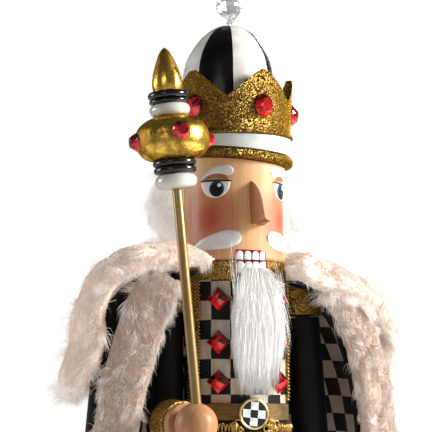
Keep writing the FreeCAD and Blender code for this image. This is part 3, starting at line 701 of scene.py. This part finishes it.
def grow(roots, normals, comb, length, locks, stand, droop=0.2, messy=0.24, swirl=0.34):
    """Strands that lean from the normal along comb, droop and gather in locks."""
    count, rings, clump = len(roots), 3, 0.45
    tree = kdtree.KDTree(locks)
    for i in range(locks):
        tree.insert(roots[i], i)
    tree.balance()
    nearest = np.array([tree.find(p)[1] for p in roots])
    turn = rng.normal(size=(locks, 3))[nearest] * swirl
    lay = unit(comb - normals * (comb * normals).sum(axis=1, keepdims=True))
    start = unit(normals * stand + lay * (1 - stand) + turn * 0.5 + rng.normal(size=(count, 3)) * messy)
    fall = np.array([0, 0, -droop])
    finish = unit(start * 0.5 + lay * 0.75 + turn + fall + rng.normal(size=(count, 3)) * messy)
    long = length * rng.uniform(0.72, 1.15, size=locks)[nearest] * rng.uniform(0.8, 1.1, size=count)
    paths = np.empty((count, rings, 3))
    paths[:, 0] = roots - normals * 0.8
    for r in range(1, rings):
        t = r / (rings - 1)
        paths[:, r] = paths[:, r - 1] + unit(start * (1 - t) + finish * t) * (long / (rings - 1))[:, None]
    for r in range(1, rings):
        pull = clump * (r / (rings - 1)) ** 1.3
        paths[:, r] = paths[:, r] * (1 - pull) + paths[nearest, r] * pull
    return paths


def shared_out(name, pieces, paths, widths, *rest):
    for k in range(pieces):
        strand_mesh("%s_%d" % (name, k + 1), paths[k::pieces], widths[k::pieces], *rest)


def fur_strands(name, pieces, base, count, comb_of, length, width, slot, material, **style):
    """Strands over a pelt, gathered in locks and split between several pieces."""
    roots, normals = sample_surface(base, count * pieces)
    paths = grow(roots, normals, unit(comb_of(roots)), length, **style)
    widths = width * rng.uniform(0.7, 1.25, size=len(paths))
    shared_out(name, pieces, paths, widths, ROOT, slot, material)


def fur_body(m, name, mid, thickness, replaces, lumps=1.6):
    """Padded base under fur, rounded off at all four edges."""
    rows, cols = mid.shape[:2]
    normal = grid_normals(mid)
    inset = []
    for axis, count in ((0, rows), (1, cols)):
        step = np.linalg.norm(np.diff(mid, axis=axis), axis=2).mean()
        inset.append(np.minimum(np.arange(count), count - 1 - np.arange(count)) * step)
    edge = np.clip(np.minimum(inset[0][:, None], inset[1][None, :]) / (thickness * 0.5), 0, 1)
    swell = np.sqrt(np.clip(1 - (1 - edge) ** 2, 0.004, 1))
    x, y, z = mid.transpose(2, 0, 1)
    wave = np.sin(x * 0.21 + z * 0.13) + np.sin(z * 0.31 + y * 0.17 + 1.7)
    half = (swell * (thickness / 2 + lumps * 0.4 * wave))[:, :, None]
    verts, faces = closed_sheet(mid + normal * half, mid - normal * half * 0.9)
    return piece(name, verts, faces, ROOT, "cream_fur", m["undercoat"], replaces=replaces)


# ---------- painted and carved face
def on_head(flat, rise, lift=0.0):
    """Puts (arc length, height) points on the head's drum, raised by lift and rise."""
    radius = HEAD_R + lift
    return drum(radius + rise, np.degrees(flat[:, 0] / radius), flat[:, 1])


def stroke(name, points, height, material, slot="white_paint"):
    """Raised brush stroke on the head, from rows of bearing, height and half-width."""
    line = spline([(math.radians(b) * HEAD_R, z, w) for b, z, w in points], 26)
    heading = unit(line[-1, :2] - line[-2, :2])
    end_w = line[-1, 2]
    cap = []
    for k in range(1, 8):
        a = math.pi / 2 * k / 7
        cap.append([*(line[-1, :2] + heading * end_w * math.sin(a)), max(0.02, end_w * math.cos(a))])
    line = np.vstack([line, cap])
    tangent = unit(np.gradient(line[:, :2], axis=0))
    normal = np.stack([-tangent[:, 1], tangent[:, 0]], axis=1)
    rows = []
    for u in np.linspace(-1, 1, 9):
        rise = height * (1 - u ** 4) - (0.25 if abs(u) == 1 else 0)
        rows.append(on_head(line[:, :2] + normal * (line[:, 2] * u)[:, None], rise))
    return piece(name, np.concatenate(rows), quads(9, len(line)), ROOT, slot, material)


def decal(name, outline, height, material, body=ROOT, slot="white_paint", lift=0.0, dome=0.35):
    """Raised enamel patch from an outline of (arc length, height) about its middle."""
    rim = np.asarray(outline, dtype=float)
    middle = rim.mean(axis=0)
    n = len(rim)
    rings = [(1.0, -0.25), (0.985, 0.55), (0.94, 0.85), (0.8, 1.0), (0.5, 1.0 + dome * 0.7)]
    verts = [on_head(middle + (rim - middle) * scale, height * rise, lift) for scale, rise in rings]
    verts.append(on_head(middle[None], height * (1 + dome), lift))
    last = (len(rings) - 1) * n
    faces = quads(len(rings), n, True)
    faces += [(last + k, last + (k + 1) % n, len(rings) * n) for k in range(n)]
    return piece(name, np.concatenate(verts), faces, body, slot, material)


def arc_points(s, z, half_s, half_z, angles):
    return [(s + half_s * math.cos(a), z + half_z * math.sin(a)) for a in angles]


def oval(s, z, half, count=28):
    return arc_points(s, z, half, half, circle(count))


# Rows of bearing, height and half-width, from the outer end of each stroke
LASH = ((59.0, 456.9, 0.4), (50, 457.0, 0.75), (41, 457.0, 0.8), (32, 456.8, 0.75), (23.6, 456.5, 0.6))
BROW = ((60.0, 457.6, 0.3), (56, 459.6, 1.0), (48, 463.2, 2.1), (39.8, 465.4, 3.3), (31.5, 465.9, 4.0),
    (26.4, 465.0, 4.3))
MOUSTACHE = ((72, 403.0, 2.6), (57.4, 406.6, 4.8), (43.9, 408.4, 6.3), (31.9, 410.0, 7.4),
    (23.5, 411.2, 7.2), (20.9, 411.6, 6.6))


def to_side(rows, side, turn):
    return [(side * b + turn, z, w) for b, z, w in rows]


def eyes_and_brows(m):
    """His painted features sit a few degrees round towards his left."""
    half = 12.4
    for name, side, turn in (("right", -1, 0.0), ("left", 1, 5.0)):
        s, z = (side * 41.2 + turn) * ARC, 456.2
        low = [(s + half * math.cos(a), z - 12.9 * abs(math.sin(a)) ** 0.9)
            for a in np.linspace(math.pi, 2 * math.pi, 22)]
        top = [(s + half * t, z) for t in np.linspace(0.9, -0.9, 12)]
        decal("eye_white_" + name, low + top, 0.5, m["eye_white"], dome=0.1)
        iris_s, iris_z = (side * 39.6 + turn) * ARC, 450.3
        iris = eye_paint("iris_" + name, iris_s, iris_z)
        decal("iris_" + name, oval(iris_s, iris_z, 6.3), 0.35, iris, lift=0.5, dome=0.1)
        decal("glint_" + name, oval(iris_s + 1.9, iris_z + 2.8, 1.5, 14), 0.25, m["eye_white"], lift=0.85)
        lid = arc_points(s, z + 0.8, 11.8, 5.4, np.linspace(0, math.pi, 20))
        decal("eyelid_" + name, lid, 0.35, m["lid"], slot="natural_wood", dome=0.1)
        stroke("lash_" + name, to_side(LASH, side, turn), 0.75, m["ink"], slot="black_lacquer")
        stroke("brow_" + name, to_side(BROW, side, turn), 0.7, m["hair_paint"])
        stroke("moustache_" + name, to_side(MOUSTACHE, side, turn * 1.5), 1.1, m["hair_paint"])


def dense(corners, count):
    shares = np.linspace(0, 1, count, endpoint=False)
    return [(a[0] + (b[0] - a[0]) * t, a[1] + (b[1] - a[1]) * t)
        for a, b in zip(corners, corners[1:] + corners[:1]) for t in shares]


def teeth(m):
    """Two rows of four round-ended teeth on red gums; the lower row rides on the jaw."""
    left, right = -18.3 * ARC, 17.2 * ARC
    upper = [(left, 394.4), (right, 394.4), (right + 0.3, 400.6), (right - 0.6, 402.2), (left + 0.4, 402.6),
        (left - 0.2, 401.6)]
    decal("gum_upper", dense(upper, 10), 0.35, m["red"], dome=0.0)
    half_turn = np.linspace(0.0, math.pi, 14)
    for k, (bearing, half) in enumerate(((-13.9, 2.75), (-5.0, 2.75), (3.9, 2.75), (12.2, 2.45))):
        s = bearing * ARC
        tooth = [(s - half, 394.5), (s + half, 394.5)] + arc_points(s, 398.3, half, 3.2, half_turn)
        decal("tooth_upper_%d" % (k + 1), tooth, 0.55, m["tooth"], lift=0.3)
    lower = [(left - 0.6, 393.4), (left, 383.4), (right, 383.4), (right + 0.8, 393.4)]
    decal("gum_lower", dense(lower, 12), 0.3, m["red"], "jaw", "black_paint", 0.35, 0.0)
    half = 3.1
    for k, bearing in enumerate((-13.2, -4.6, 4.0, 12.4)):
        s = bearing * ARC
        tooth = [(s + half, 384.2), (s - half, 384.2)] + arc_points(s, 390.6, -half, 2.6, half_turn)
        decal("tooth_lower_%d" % (k + 1), tooth, 0.6, m["tooth"], "jaw", "white_paint", 0.6)


# Down the nose: share of its length, middle across, half-width, how far it stands out
NOSE = ((0.0, -0.3, 1.2, 0.6), (0.04, 0.0, 1.8, 4.2), (0.1, 0.3, 2.3, 7.8), (0.2, 0.9, 2.9, 12.0),
    (0.32, 1.6, 3.5, 14.8), (0.45, 2.3, 4.0, 16.4), (0.6, 3.0, 4.5, 17.2), (0.75, 3.7, 5.0, 17.3),
    (0.86, 4.3, 5.4, 17.6), (0.92, 4.6, 5.7, 19.0), (0.96, 4.9, 5.9, 21.5), (0.985, 5.1, 6.1, 24.6),
    (1.0, 5.2, 6.2, 27.0))


def nose(m):
    """Carved nose: a steep ridge that sweeps out to a point over a flat underside."""
    long = 33.7
    rows = spline(np.array(NOSE) * (34, 1, 1, 1), 56) / (34, 1, 1, 1)
    n = 27
    verts = []
    for t, middle, half, stands in rows:
        for u in np.linspace(-1, 1, n):
            soft = math.sqrt(u * u + 0.003) - math.sqrt(0.003)
            ridge = max(0.0, 1 - soft) ** 1.05
            x = middle + half * u
            face = 1.2 - math.sqrt(HEAD_R ** 2 - x * x)
            verts.append((x, face + (-HEAD_R - stands - face) * ridge, 456.3 - long * t))
    base = (len(rows) - 1) * n
    under = len(verts)
    verts.append((5.0, -46.0, 423.6))
    faces = quads(len(rows), n)
    faces += [(base + j, base + (j + 1) % n, under) for j in range(n)]
    faces.append(tuple(range(n - 1, -1, -1)))
    made = piece("carved_nose", verts, faces, ROOT, "natural_wood", m["nose"], replaces=["nose"])
    made.data.set_sharp_from_angle(angle=math.radians(38))


# ---------- stones
def facets(width, height, depth, count, table, middle=0.8):
    """Cut stone on the XZ plane, pointing to -Y: girdle, crown ring and table."""
    verts = []
    for scale, y, turn in ((1.0, 0.28, 0), (1.0, 0.0, 0), (middle, -0.5, 0.5), (table, -1.0, 0)):
        for k in range(count):
            a = 2 * math.pi * (k + turn) / count
            verts.append((scale * width / 2 * math.cos(a), y * depth, scale * height / 2 * math.sin(a)))
    n = count
    faces = []
    for k in range(n):
        k2 = (k + 1) % n
        faces += [(k, n + k, n + k2, k2), (n + k, 2 * n + k, n + k2), (2 * n + k, 2 * n + k2, n + k2),
            (2 * n + k, 3 * n + k2, 2 * n + k2), (2 * n + k, 3 * n + k, 3 * n + k2)]
    faces += [tuple(3 * n + k for k in range(n - 1, -1, -1)), tuple(range(n))]
    return np.array(verts), faces


def turned(a, b, angle):
    """The pair (a, b) turned by an angle in radians."""
    return a * math.cos(angle) - b * math.sin(angle), a * math.sin(angle) + b * math.cos(angle)


def at_bearing(verts, radius, bearing, z, lean=0.0):
    x, y, up = verts.T
    y, up = turned(y, up, math.radians(lean))
    x, y = turned(x, y, math.radians(bearing))
    return np.stack([x, y, up], axis=1) + drum(radius, bearing, z)


def on_sceptre(verts):
    x, y, z = verts.T
    x, z = turned(x, z, LEAN)
    return np.stack([x, y, z], axis=1) + GRIP


def stones(m):
    v, f = facets(15.5, 19.0, 5.6, 16, 0.56)
    crown = [(at_bearing(v, 48.2, 11.0 + 72 * k, 516.5, 3) + (-0.75, 0.3, 0), f) for k in range(5)]
    v, f = facets(19.6, 19.0, 6.4, 8, 0.2, 0.66)
    v[1:16:2] *= (0.707, 1, 0.707)
    vest = [(at_bearing(v, 41.6, side * 37.0, z), f) for side in (-1, 1) for z in (364, 330.5, 300)]
    v, f = facets(14.2, 14.2, 5.0, 14, 0.56)
    orb = [(on_sceptre(at_bearing(v, 28.0, bearing, z)), f)
        for bearing, z in ((-3, 220.0), (94, 215.6), (176, 217.0), (266, 216.0))]
    for place, cut, body in (("crown", crown, ROOT), ("vest", vest, ROOT), ("sceptre", orb, "sceptre")):
        piece(place + "_stones", *joined(cut), body, "red_stone", m["ruby"], False, [place + "_gems"])


# ---------- braids
def looped(path, loops, radius):
    """Thread coiled about a path of points, flattened against the cloth."""
    per = 14
    p = spline(path, loops * per)
    out = unit(p * (1, 1, 0))
    side = np.cross(unit(np.gradient(p, axis=0)), out)
    a = np.arange(len(p)) * 2 * math.pi / per
    wide = radius * (1 + 0.16 * np.sin(a * 0.37 + 1.3)) * np.cos(a)
    return tube(p + side * wide[:, None] + out * (radius * 0.55 * np.sin(a))[:, None], 0.5, 6)


def braids(m):
    parts = []
    for side in (-1, 1):
        for bearing, radius in ((60.9, 1.9), (67.0, 2.1), (73.6, 2.5)):
            parts.append(looped([drum(43.2, side * bearing, z) for z in (285, 316, 347, 378)], 34, radius))
    piece("vest_gimp", *joined(parts), ROOT, "gold_braid", m["thread"])
    parts = []
    for low, high, z, radius in ((-60, -15, 264.6, 2.9), (15, 60, 264.6, 2.9), (-60, 60, 258.8, 2.3)):
        path = drum(45.0, np.linspace(low, high, 9), z)
        parts.append(looped(path, int((high - low) / 3.4), radius))
    for k in range(16):
        b0, z0 = (-1) ** k * rng.uniform(13, 24), rng.uniform(258, 269)
        turn = np.linspace(0, rng.uniform(4.5, 7.5), 28)
        curl = rng.uniform(1.8, 3.4) * (1 - 0.05 * turn)
        path = drum(46.6 + 0.9 * np.sin(1.3 * turn), b0 + np.degrees(curl * np.cos(turn) / 46),
            z0 + curl * np.sin(turn))
        parts.append(tube(path, 0.48, 6))
    piece("belt_gimp", *joined(parts), ROOT, "gold_braid", m["thread"], replaces=["belt_braid"])
    hem = looped(drum(50.2, np.linspace(0, 360, 25), 217.4), 64, 1.8)
    piece("hem_gimp", *hem, ROOT, "gold_braid", m["thread"], replaces=["skirt_braid"])


# ---------- cape and furs
def rings(text):
    return [np.array(line.split(), dtype=float).reshape(-1, 3) for line in text.strip().splitlines()]


# Rings from the top down, one on each line, from the front edge round to the back as x y z. The
# right halves end with the point at the back that both halves share.
CAPE_RIGHT = rings("""
42 -35 385  54 -28 385  62 4 385  44 44 385  0 60 385
52 -33 378  72 -26 378  84 8 378  59 60 378  0 78 378
62.5 -31 357  89 -23 357  101 14 357  74 74 357  0 92 357
74 -30 322  98 -21 322  108 18 322  81 83 322  0 99 322
84 -30 286  105 -21 286  112 20 286  83 88 286  0 103 286
96 -31 200  113 -18 200  118 24 200  87 95 200  0 109 200
101 -32 120  118 -17 120  122 26 120  90 100 120  0 114 120
104 -33 52  121 -16 52  125 28 52  92 104 52  0 118 52
""")
CAPE_LEFT = rings("""
42 -35 381  54 -28 381  62 4 382  44 44 384
54 -33 373  72 -26 373  84 8 374  60 60 377
68 -31 354  93 -22 354  104 14 354  75 74 356
82 -30 322  109 -20 322  118 18 322  86 84 322
90 -30 286  120 -18 286  127 20 286  91 90 286
97 -31 200  130 -16 200  137 24 200  97 97 200
101 -32 120  134 -15 120  140 26 120  100 102 120
104 -33 52  136 -14 52  142 28 52  102 106 52
""")
COLLAR_RIGHT = rings("""
32 -44 394  43 -33 399  53 0 401  39 39 401  0 55 401
56 -44 391  65 -33 397  74 6 400  54 53 399  0 72 398
85 -41 387  91 -30 393  95 10 393  68 69 390  0 89 388
106 -35 376  110 -24 381  111 13 377  80 82 372  0 102 370
118 -26 354  120 -15 356  120 16 352  88 90 347  0 110 346
117 -27 333  120 -16 332  122 18 329  92 94 325  0 113 326
122 -24 311  127 -13 309  128 20 307  95 97 306  0 115 308
131 -16 294  134 -8 292  132 21 290  97 99 291  0 117 295
""")
COLLAR_LEFT = rings("""
25 -46 392  39 -37 395  53 0 398  39 39 401
40 -46 380  56 -37 389  72 6 394  54 53 397
62 -45 370  77 -36 381  94 10 384  69 70 388
84 -42 364  98 -31 372  113 14 371  82 84 371
103 -38 360  116 -22 362  127 16 352  93 93 346
116 -30 354  127 -13 350  133 18 333  98 98 326
122 -27 348  132 -9 339  136 19 317  101 101 309
125 -24 342  134 -7 330  137 19 303  103 103 296
""")


def all_rings(right, left):
    return [np.vstack([one * (-1, 1, 1), other[::-1]]) for one, other in zip(right, left)]


def cape(m):
    """Velvet in upright folds, its lining, and piping on the front edges."""
    rows, cols = 46, 150
    grid = grid_of(all_rings(CAPE_RIGHT, CAPE_LEFT), rows, cols)
    down = np.linspace(0, 1, rows)[:, None]
    around = np.linspace(0, 1, cols)[None, :]
    clear = smooth_step((np.minimum(around, 1 - around) - 0.09) / 0.1)
    wave = np.sin(around * 2 * math.pi * 9.5 + 0.8 * np.sin(down * 2.2))
    wave = wave + 0.45 * np.sin(around * 2 * math.pi * 17 + 2)
    fold = (-1.2 + 3.9 * wave) * smooth_step((down - 0.12) / 0.8) * clear
    grid = grid + grid_normals(grid) * fold[:, :, None]
    normal = grid_normals(grid)
    velvet_cape = piece("cape_velvet", *closed_sheet(grid + normal * 0.9, grid - normal * 0.1), ROOT,
        "black_velvet", m["velvet"], replaces=["cape"])
    lining = piece("cape_lining", *closed_sheet(grid - normal * 0.2, grid - normal * 0.9), ROOT,
        "black_velvet", m["lining"])
    across = travelled(grid, 1)
    across = np.minimum(across, across[:, -1:] - across)
    where = np.stack([across, travelled(grid, 0)], axis=2).reshape(-1, 2) * MM
    layer = lining.data.uv_layers.new(name="cloth")
    loops = read(lining.data.loops, "vertex_index", 1, np.int64)
    layer.data.foreach_set("uv", where[loops % len(where)].reshape(-1))
    edges = [tube(spline(grid[:, j], 90) - normal[0, j] * 0.2, 1.3, 8) for j in (0, cols - 1)]
    piece("cape_piping", *joined(edges), ROOT, "black_velvet", m["satin"])
    return grid + normal * 6.6


def collar(m):
    """Wide fur collar, combed outwards at the neck and down over the shoulders."""
    grid = grid_of(all_rings(COLLAR_RIGHT, COLLAR_LEFT), 30, 124)
    base = fur_body(m, "collar_pelt", grid, 15.0, ["fur_collar"])

    def outward(p):
        fall = np.clip((400 - p[:, 2]) / 45, 0.15, 1.6)
        comb = unit((p - (0, 10, 0)) * (1, 1, 0)) - np.array([0, 0, 1.0]) * fall[:, None]
        comb[:, 1] += 0.25 * np.sin(p[:, 0] * 0.05 + p[:, 2] * 0.09)
        return comb
    fur_strands("collar_fur", 6, base, few(18500), outward, 19.0, 0.46, "cream_fur", m["fur"],
        locks=1900, stand=0.7)


def trims(m, outside):
    """Fur trim of one width down each front edge; outside is the grid that it lies on."""
    strip = np.linspace(0, TRIM_WIDTH, 12)
    for name, side in (("right", -1), ("left", 1)):
        rows = [at_lengths(line[::-side], strip)[::-side] for line in outside[2::4]]
        grid = grid_of(rows, 80, 12)
        base = fur_body(m, "trim_pelt_" + name, grid, 11.0, ["fur_trim_" + name], 1.2)

        def down(p, side=side):
            bend = 0.42 * np.sin(p[:, 2] * 0.06) + side * 0.12
            return np.stack([bend, np.full(len(p), -0.15), np.full(len(p), -1.0)], axis=1)
        # The trims take the darker fur, which is painted shade.
        fur_strands("trim_fur_" + name, 3, base, few(18500), down, 16.5, 0.46, "cream_fur", m["trim_fur"],
            locks=1100, stand=0.66)


def hair(m):
    """Long white fur round the back and sides of the head, combed outwards and down."""
    glue = 41.4
    outer, inner = [], []
    bearings = np.linspace(96, 264, 60)
    edge = smooth_step(np.minimum(bearings - 96, 264 - bearings) / 12.0)
    for t in np.linspace(0, 1, 16):
        z = 467 - 59 * t
        swell = 23.0 * math.sin(math.pi * min(1, 0.12 + t * 0.95)) ** 0.6
        outer.append([drum(glue + 0.8 + swell * e, b, z) for b, e in zip(bearings, edge)])
        inner.append([drum(glue, b, z) for b in bearings])
    shell = closed_sheet(np.array(outer)[:, ::-1], np.array(inner)[:, ::-1])
    base = piece("hair_pad", *shell, ROOT, "white_fur", m["hair_fur"], replaces=["hair"])

    def comb(p):
        turn = np.stack([-p[:, 1], p[:, 0], np.zeros(len(p))], axis=1) / 60.0
        front = np.where(p[:, 0] < 0, 1.0, -1.0)[:, None] * smooth_step((30 - p[:, 1]) / 60)[:, None]
        return unit(p * (1, 1, 0)) * 0.55 + turn * front * 0.35 + np.array([0, 0, -1.0])
    fur_strands("hair_fur", 2, base, few(12000), comb, 22.0, 0.42, "white_fur", m["hair_fur"],
        locks=500, stand=0.3, droop=0.35, messy=0.16, swirl=0.22)


def beard(m):
    """Straight white fur hanging from the chin, ragged at its tips."""
    n = 28
    verts = [(1.2 + w * math.cos(a), -43.6 - t / 2 - t / 2 * math.sin(a), z)
        for z, w, t in ((386, 11.5, 4), (378, 13.5, 9), (360, 15.5, 12), (335, 15, 11), (320, 10, 6))
        for a in circle(n)]
    faces = quads(5, n, True) + [tuple(range(n)), tuple(range(5 * n - 1, 4 * n - 1, -1))]
    core = piece("beard_core", verts, faces, "beard", "white_fur", m["white_fur"], replaces=["beard"])
    pieces, rings = 2, 5
    count = few(8500) * pieces
    u = rng.uniform(-1, 1, count)  # across the chin
    depth = rng.random(count)  # 0 at the chin, 1 at the front
    top = 387.5 - 34 * rng.random(count) ** 2.0
    half = np.interp(top, [350, 365, 378, 388], [18.0, 16.5, 13.5, 10.5])
    deep = np.interp(top, [350, 388], [11.0, 5.0]) * (1 - 0.55 * u ** 2)
    roots = np.stack([1.0 + u * half, -45.1 - depth * deep, top], axis=1)
    tip_z = 299 + 12 * np.abs(u) ** 1.6 + rng.normal(0, 5.0, count)
    tip_z += 40 * (rng.random(count) < 0.45) * rng.random(count)
    locks = rng.uniform(-1, 1, 210)
    near = np.abs(locks[None, :] - (u + rng.normal(0, 0.04, count))[:, None]).argmin(axis=1)
    lock = locks[near]
    tip_z += rng.normal(0, 5.5, len(locks))[near]
    stray = rng.normal(0, 2.6, len(locks))[near] + rng.normal(0, 0.9, count)
    tip_x = 1.2 + lock * 15.5 + (u - lock) * 4 + stray
    tuft = (rng.random(count) < 0.2) & (np.abs(u) > 0.7) & (top < 368)
    tip_x += tuft * np.sign(u) * rng.uniform(1, 5, count)
    tip_z += tuft * rng.uniform(5, 60, count)
    loose = (rng.random(count) < 0.02) & (u > 0.2)
    tip_x += loose * rng.uniform(4, 15, count)
    tip_z += loose * rng.uniform(4, 34, count)
    tip_z = np.clip(tip_z, 287, None)
    tip_y = -46.0 - depth * 6.5 + rng.normal(0, 0.8, count)
    tips = np.stack([tip_x, tip_y, tip_z], axis=1)
    paths = np.empty((count, rings, 3))
    for r in range(rings):
        t = r / (rings - 1)
        paths[:, r] = roots * (1 - t) + tips * t
        paths[:, r, 0] += (roots[:, 0] - 1.2) * 0.2 * math.sin(math.pi * t)
        paths[:, r, 1] -= math.sin(math.pi * min(1, t * 1.15)) * 5.0 * (0.35 + 0.65 * depth)
        paths[:, r, :2] += rng.normal(0, 0.35, (count, 2)) * t
    paths[:, :, 1] = np.maximum(paths[:, :, 1], -62.5)
    widths = 0.4 * rng.uniform(0.7, 1.2, count)
    shared_out("beard_fur", pieces, paths, widths, "beard", "white_fur", m["white_fur"])


studio()
looks = all_finishes()
finish_nodes(looks)
eyes_and_brows(looks)
teeth(looks)
nose(looks)
stones(looks)
braids(looks)
cape_outside = cape(looks)
collar(looks)
trims(looks, cape_outside)
hair(looks)
beard(looks)
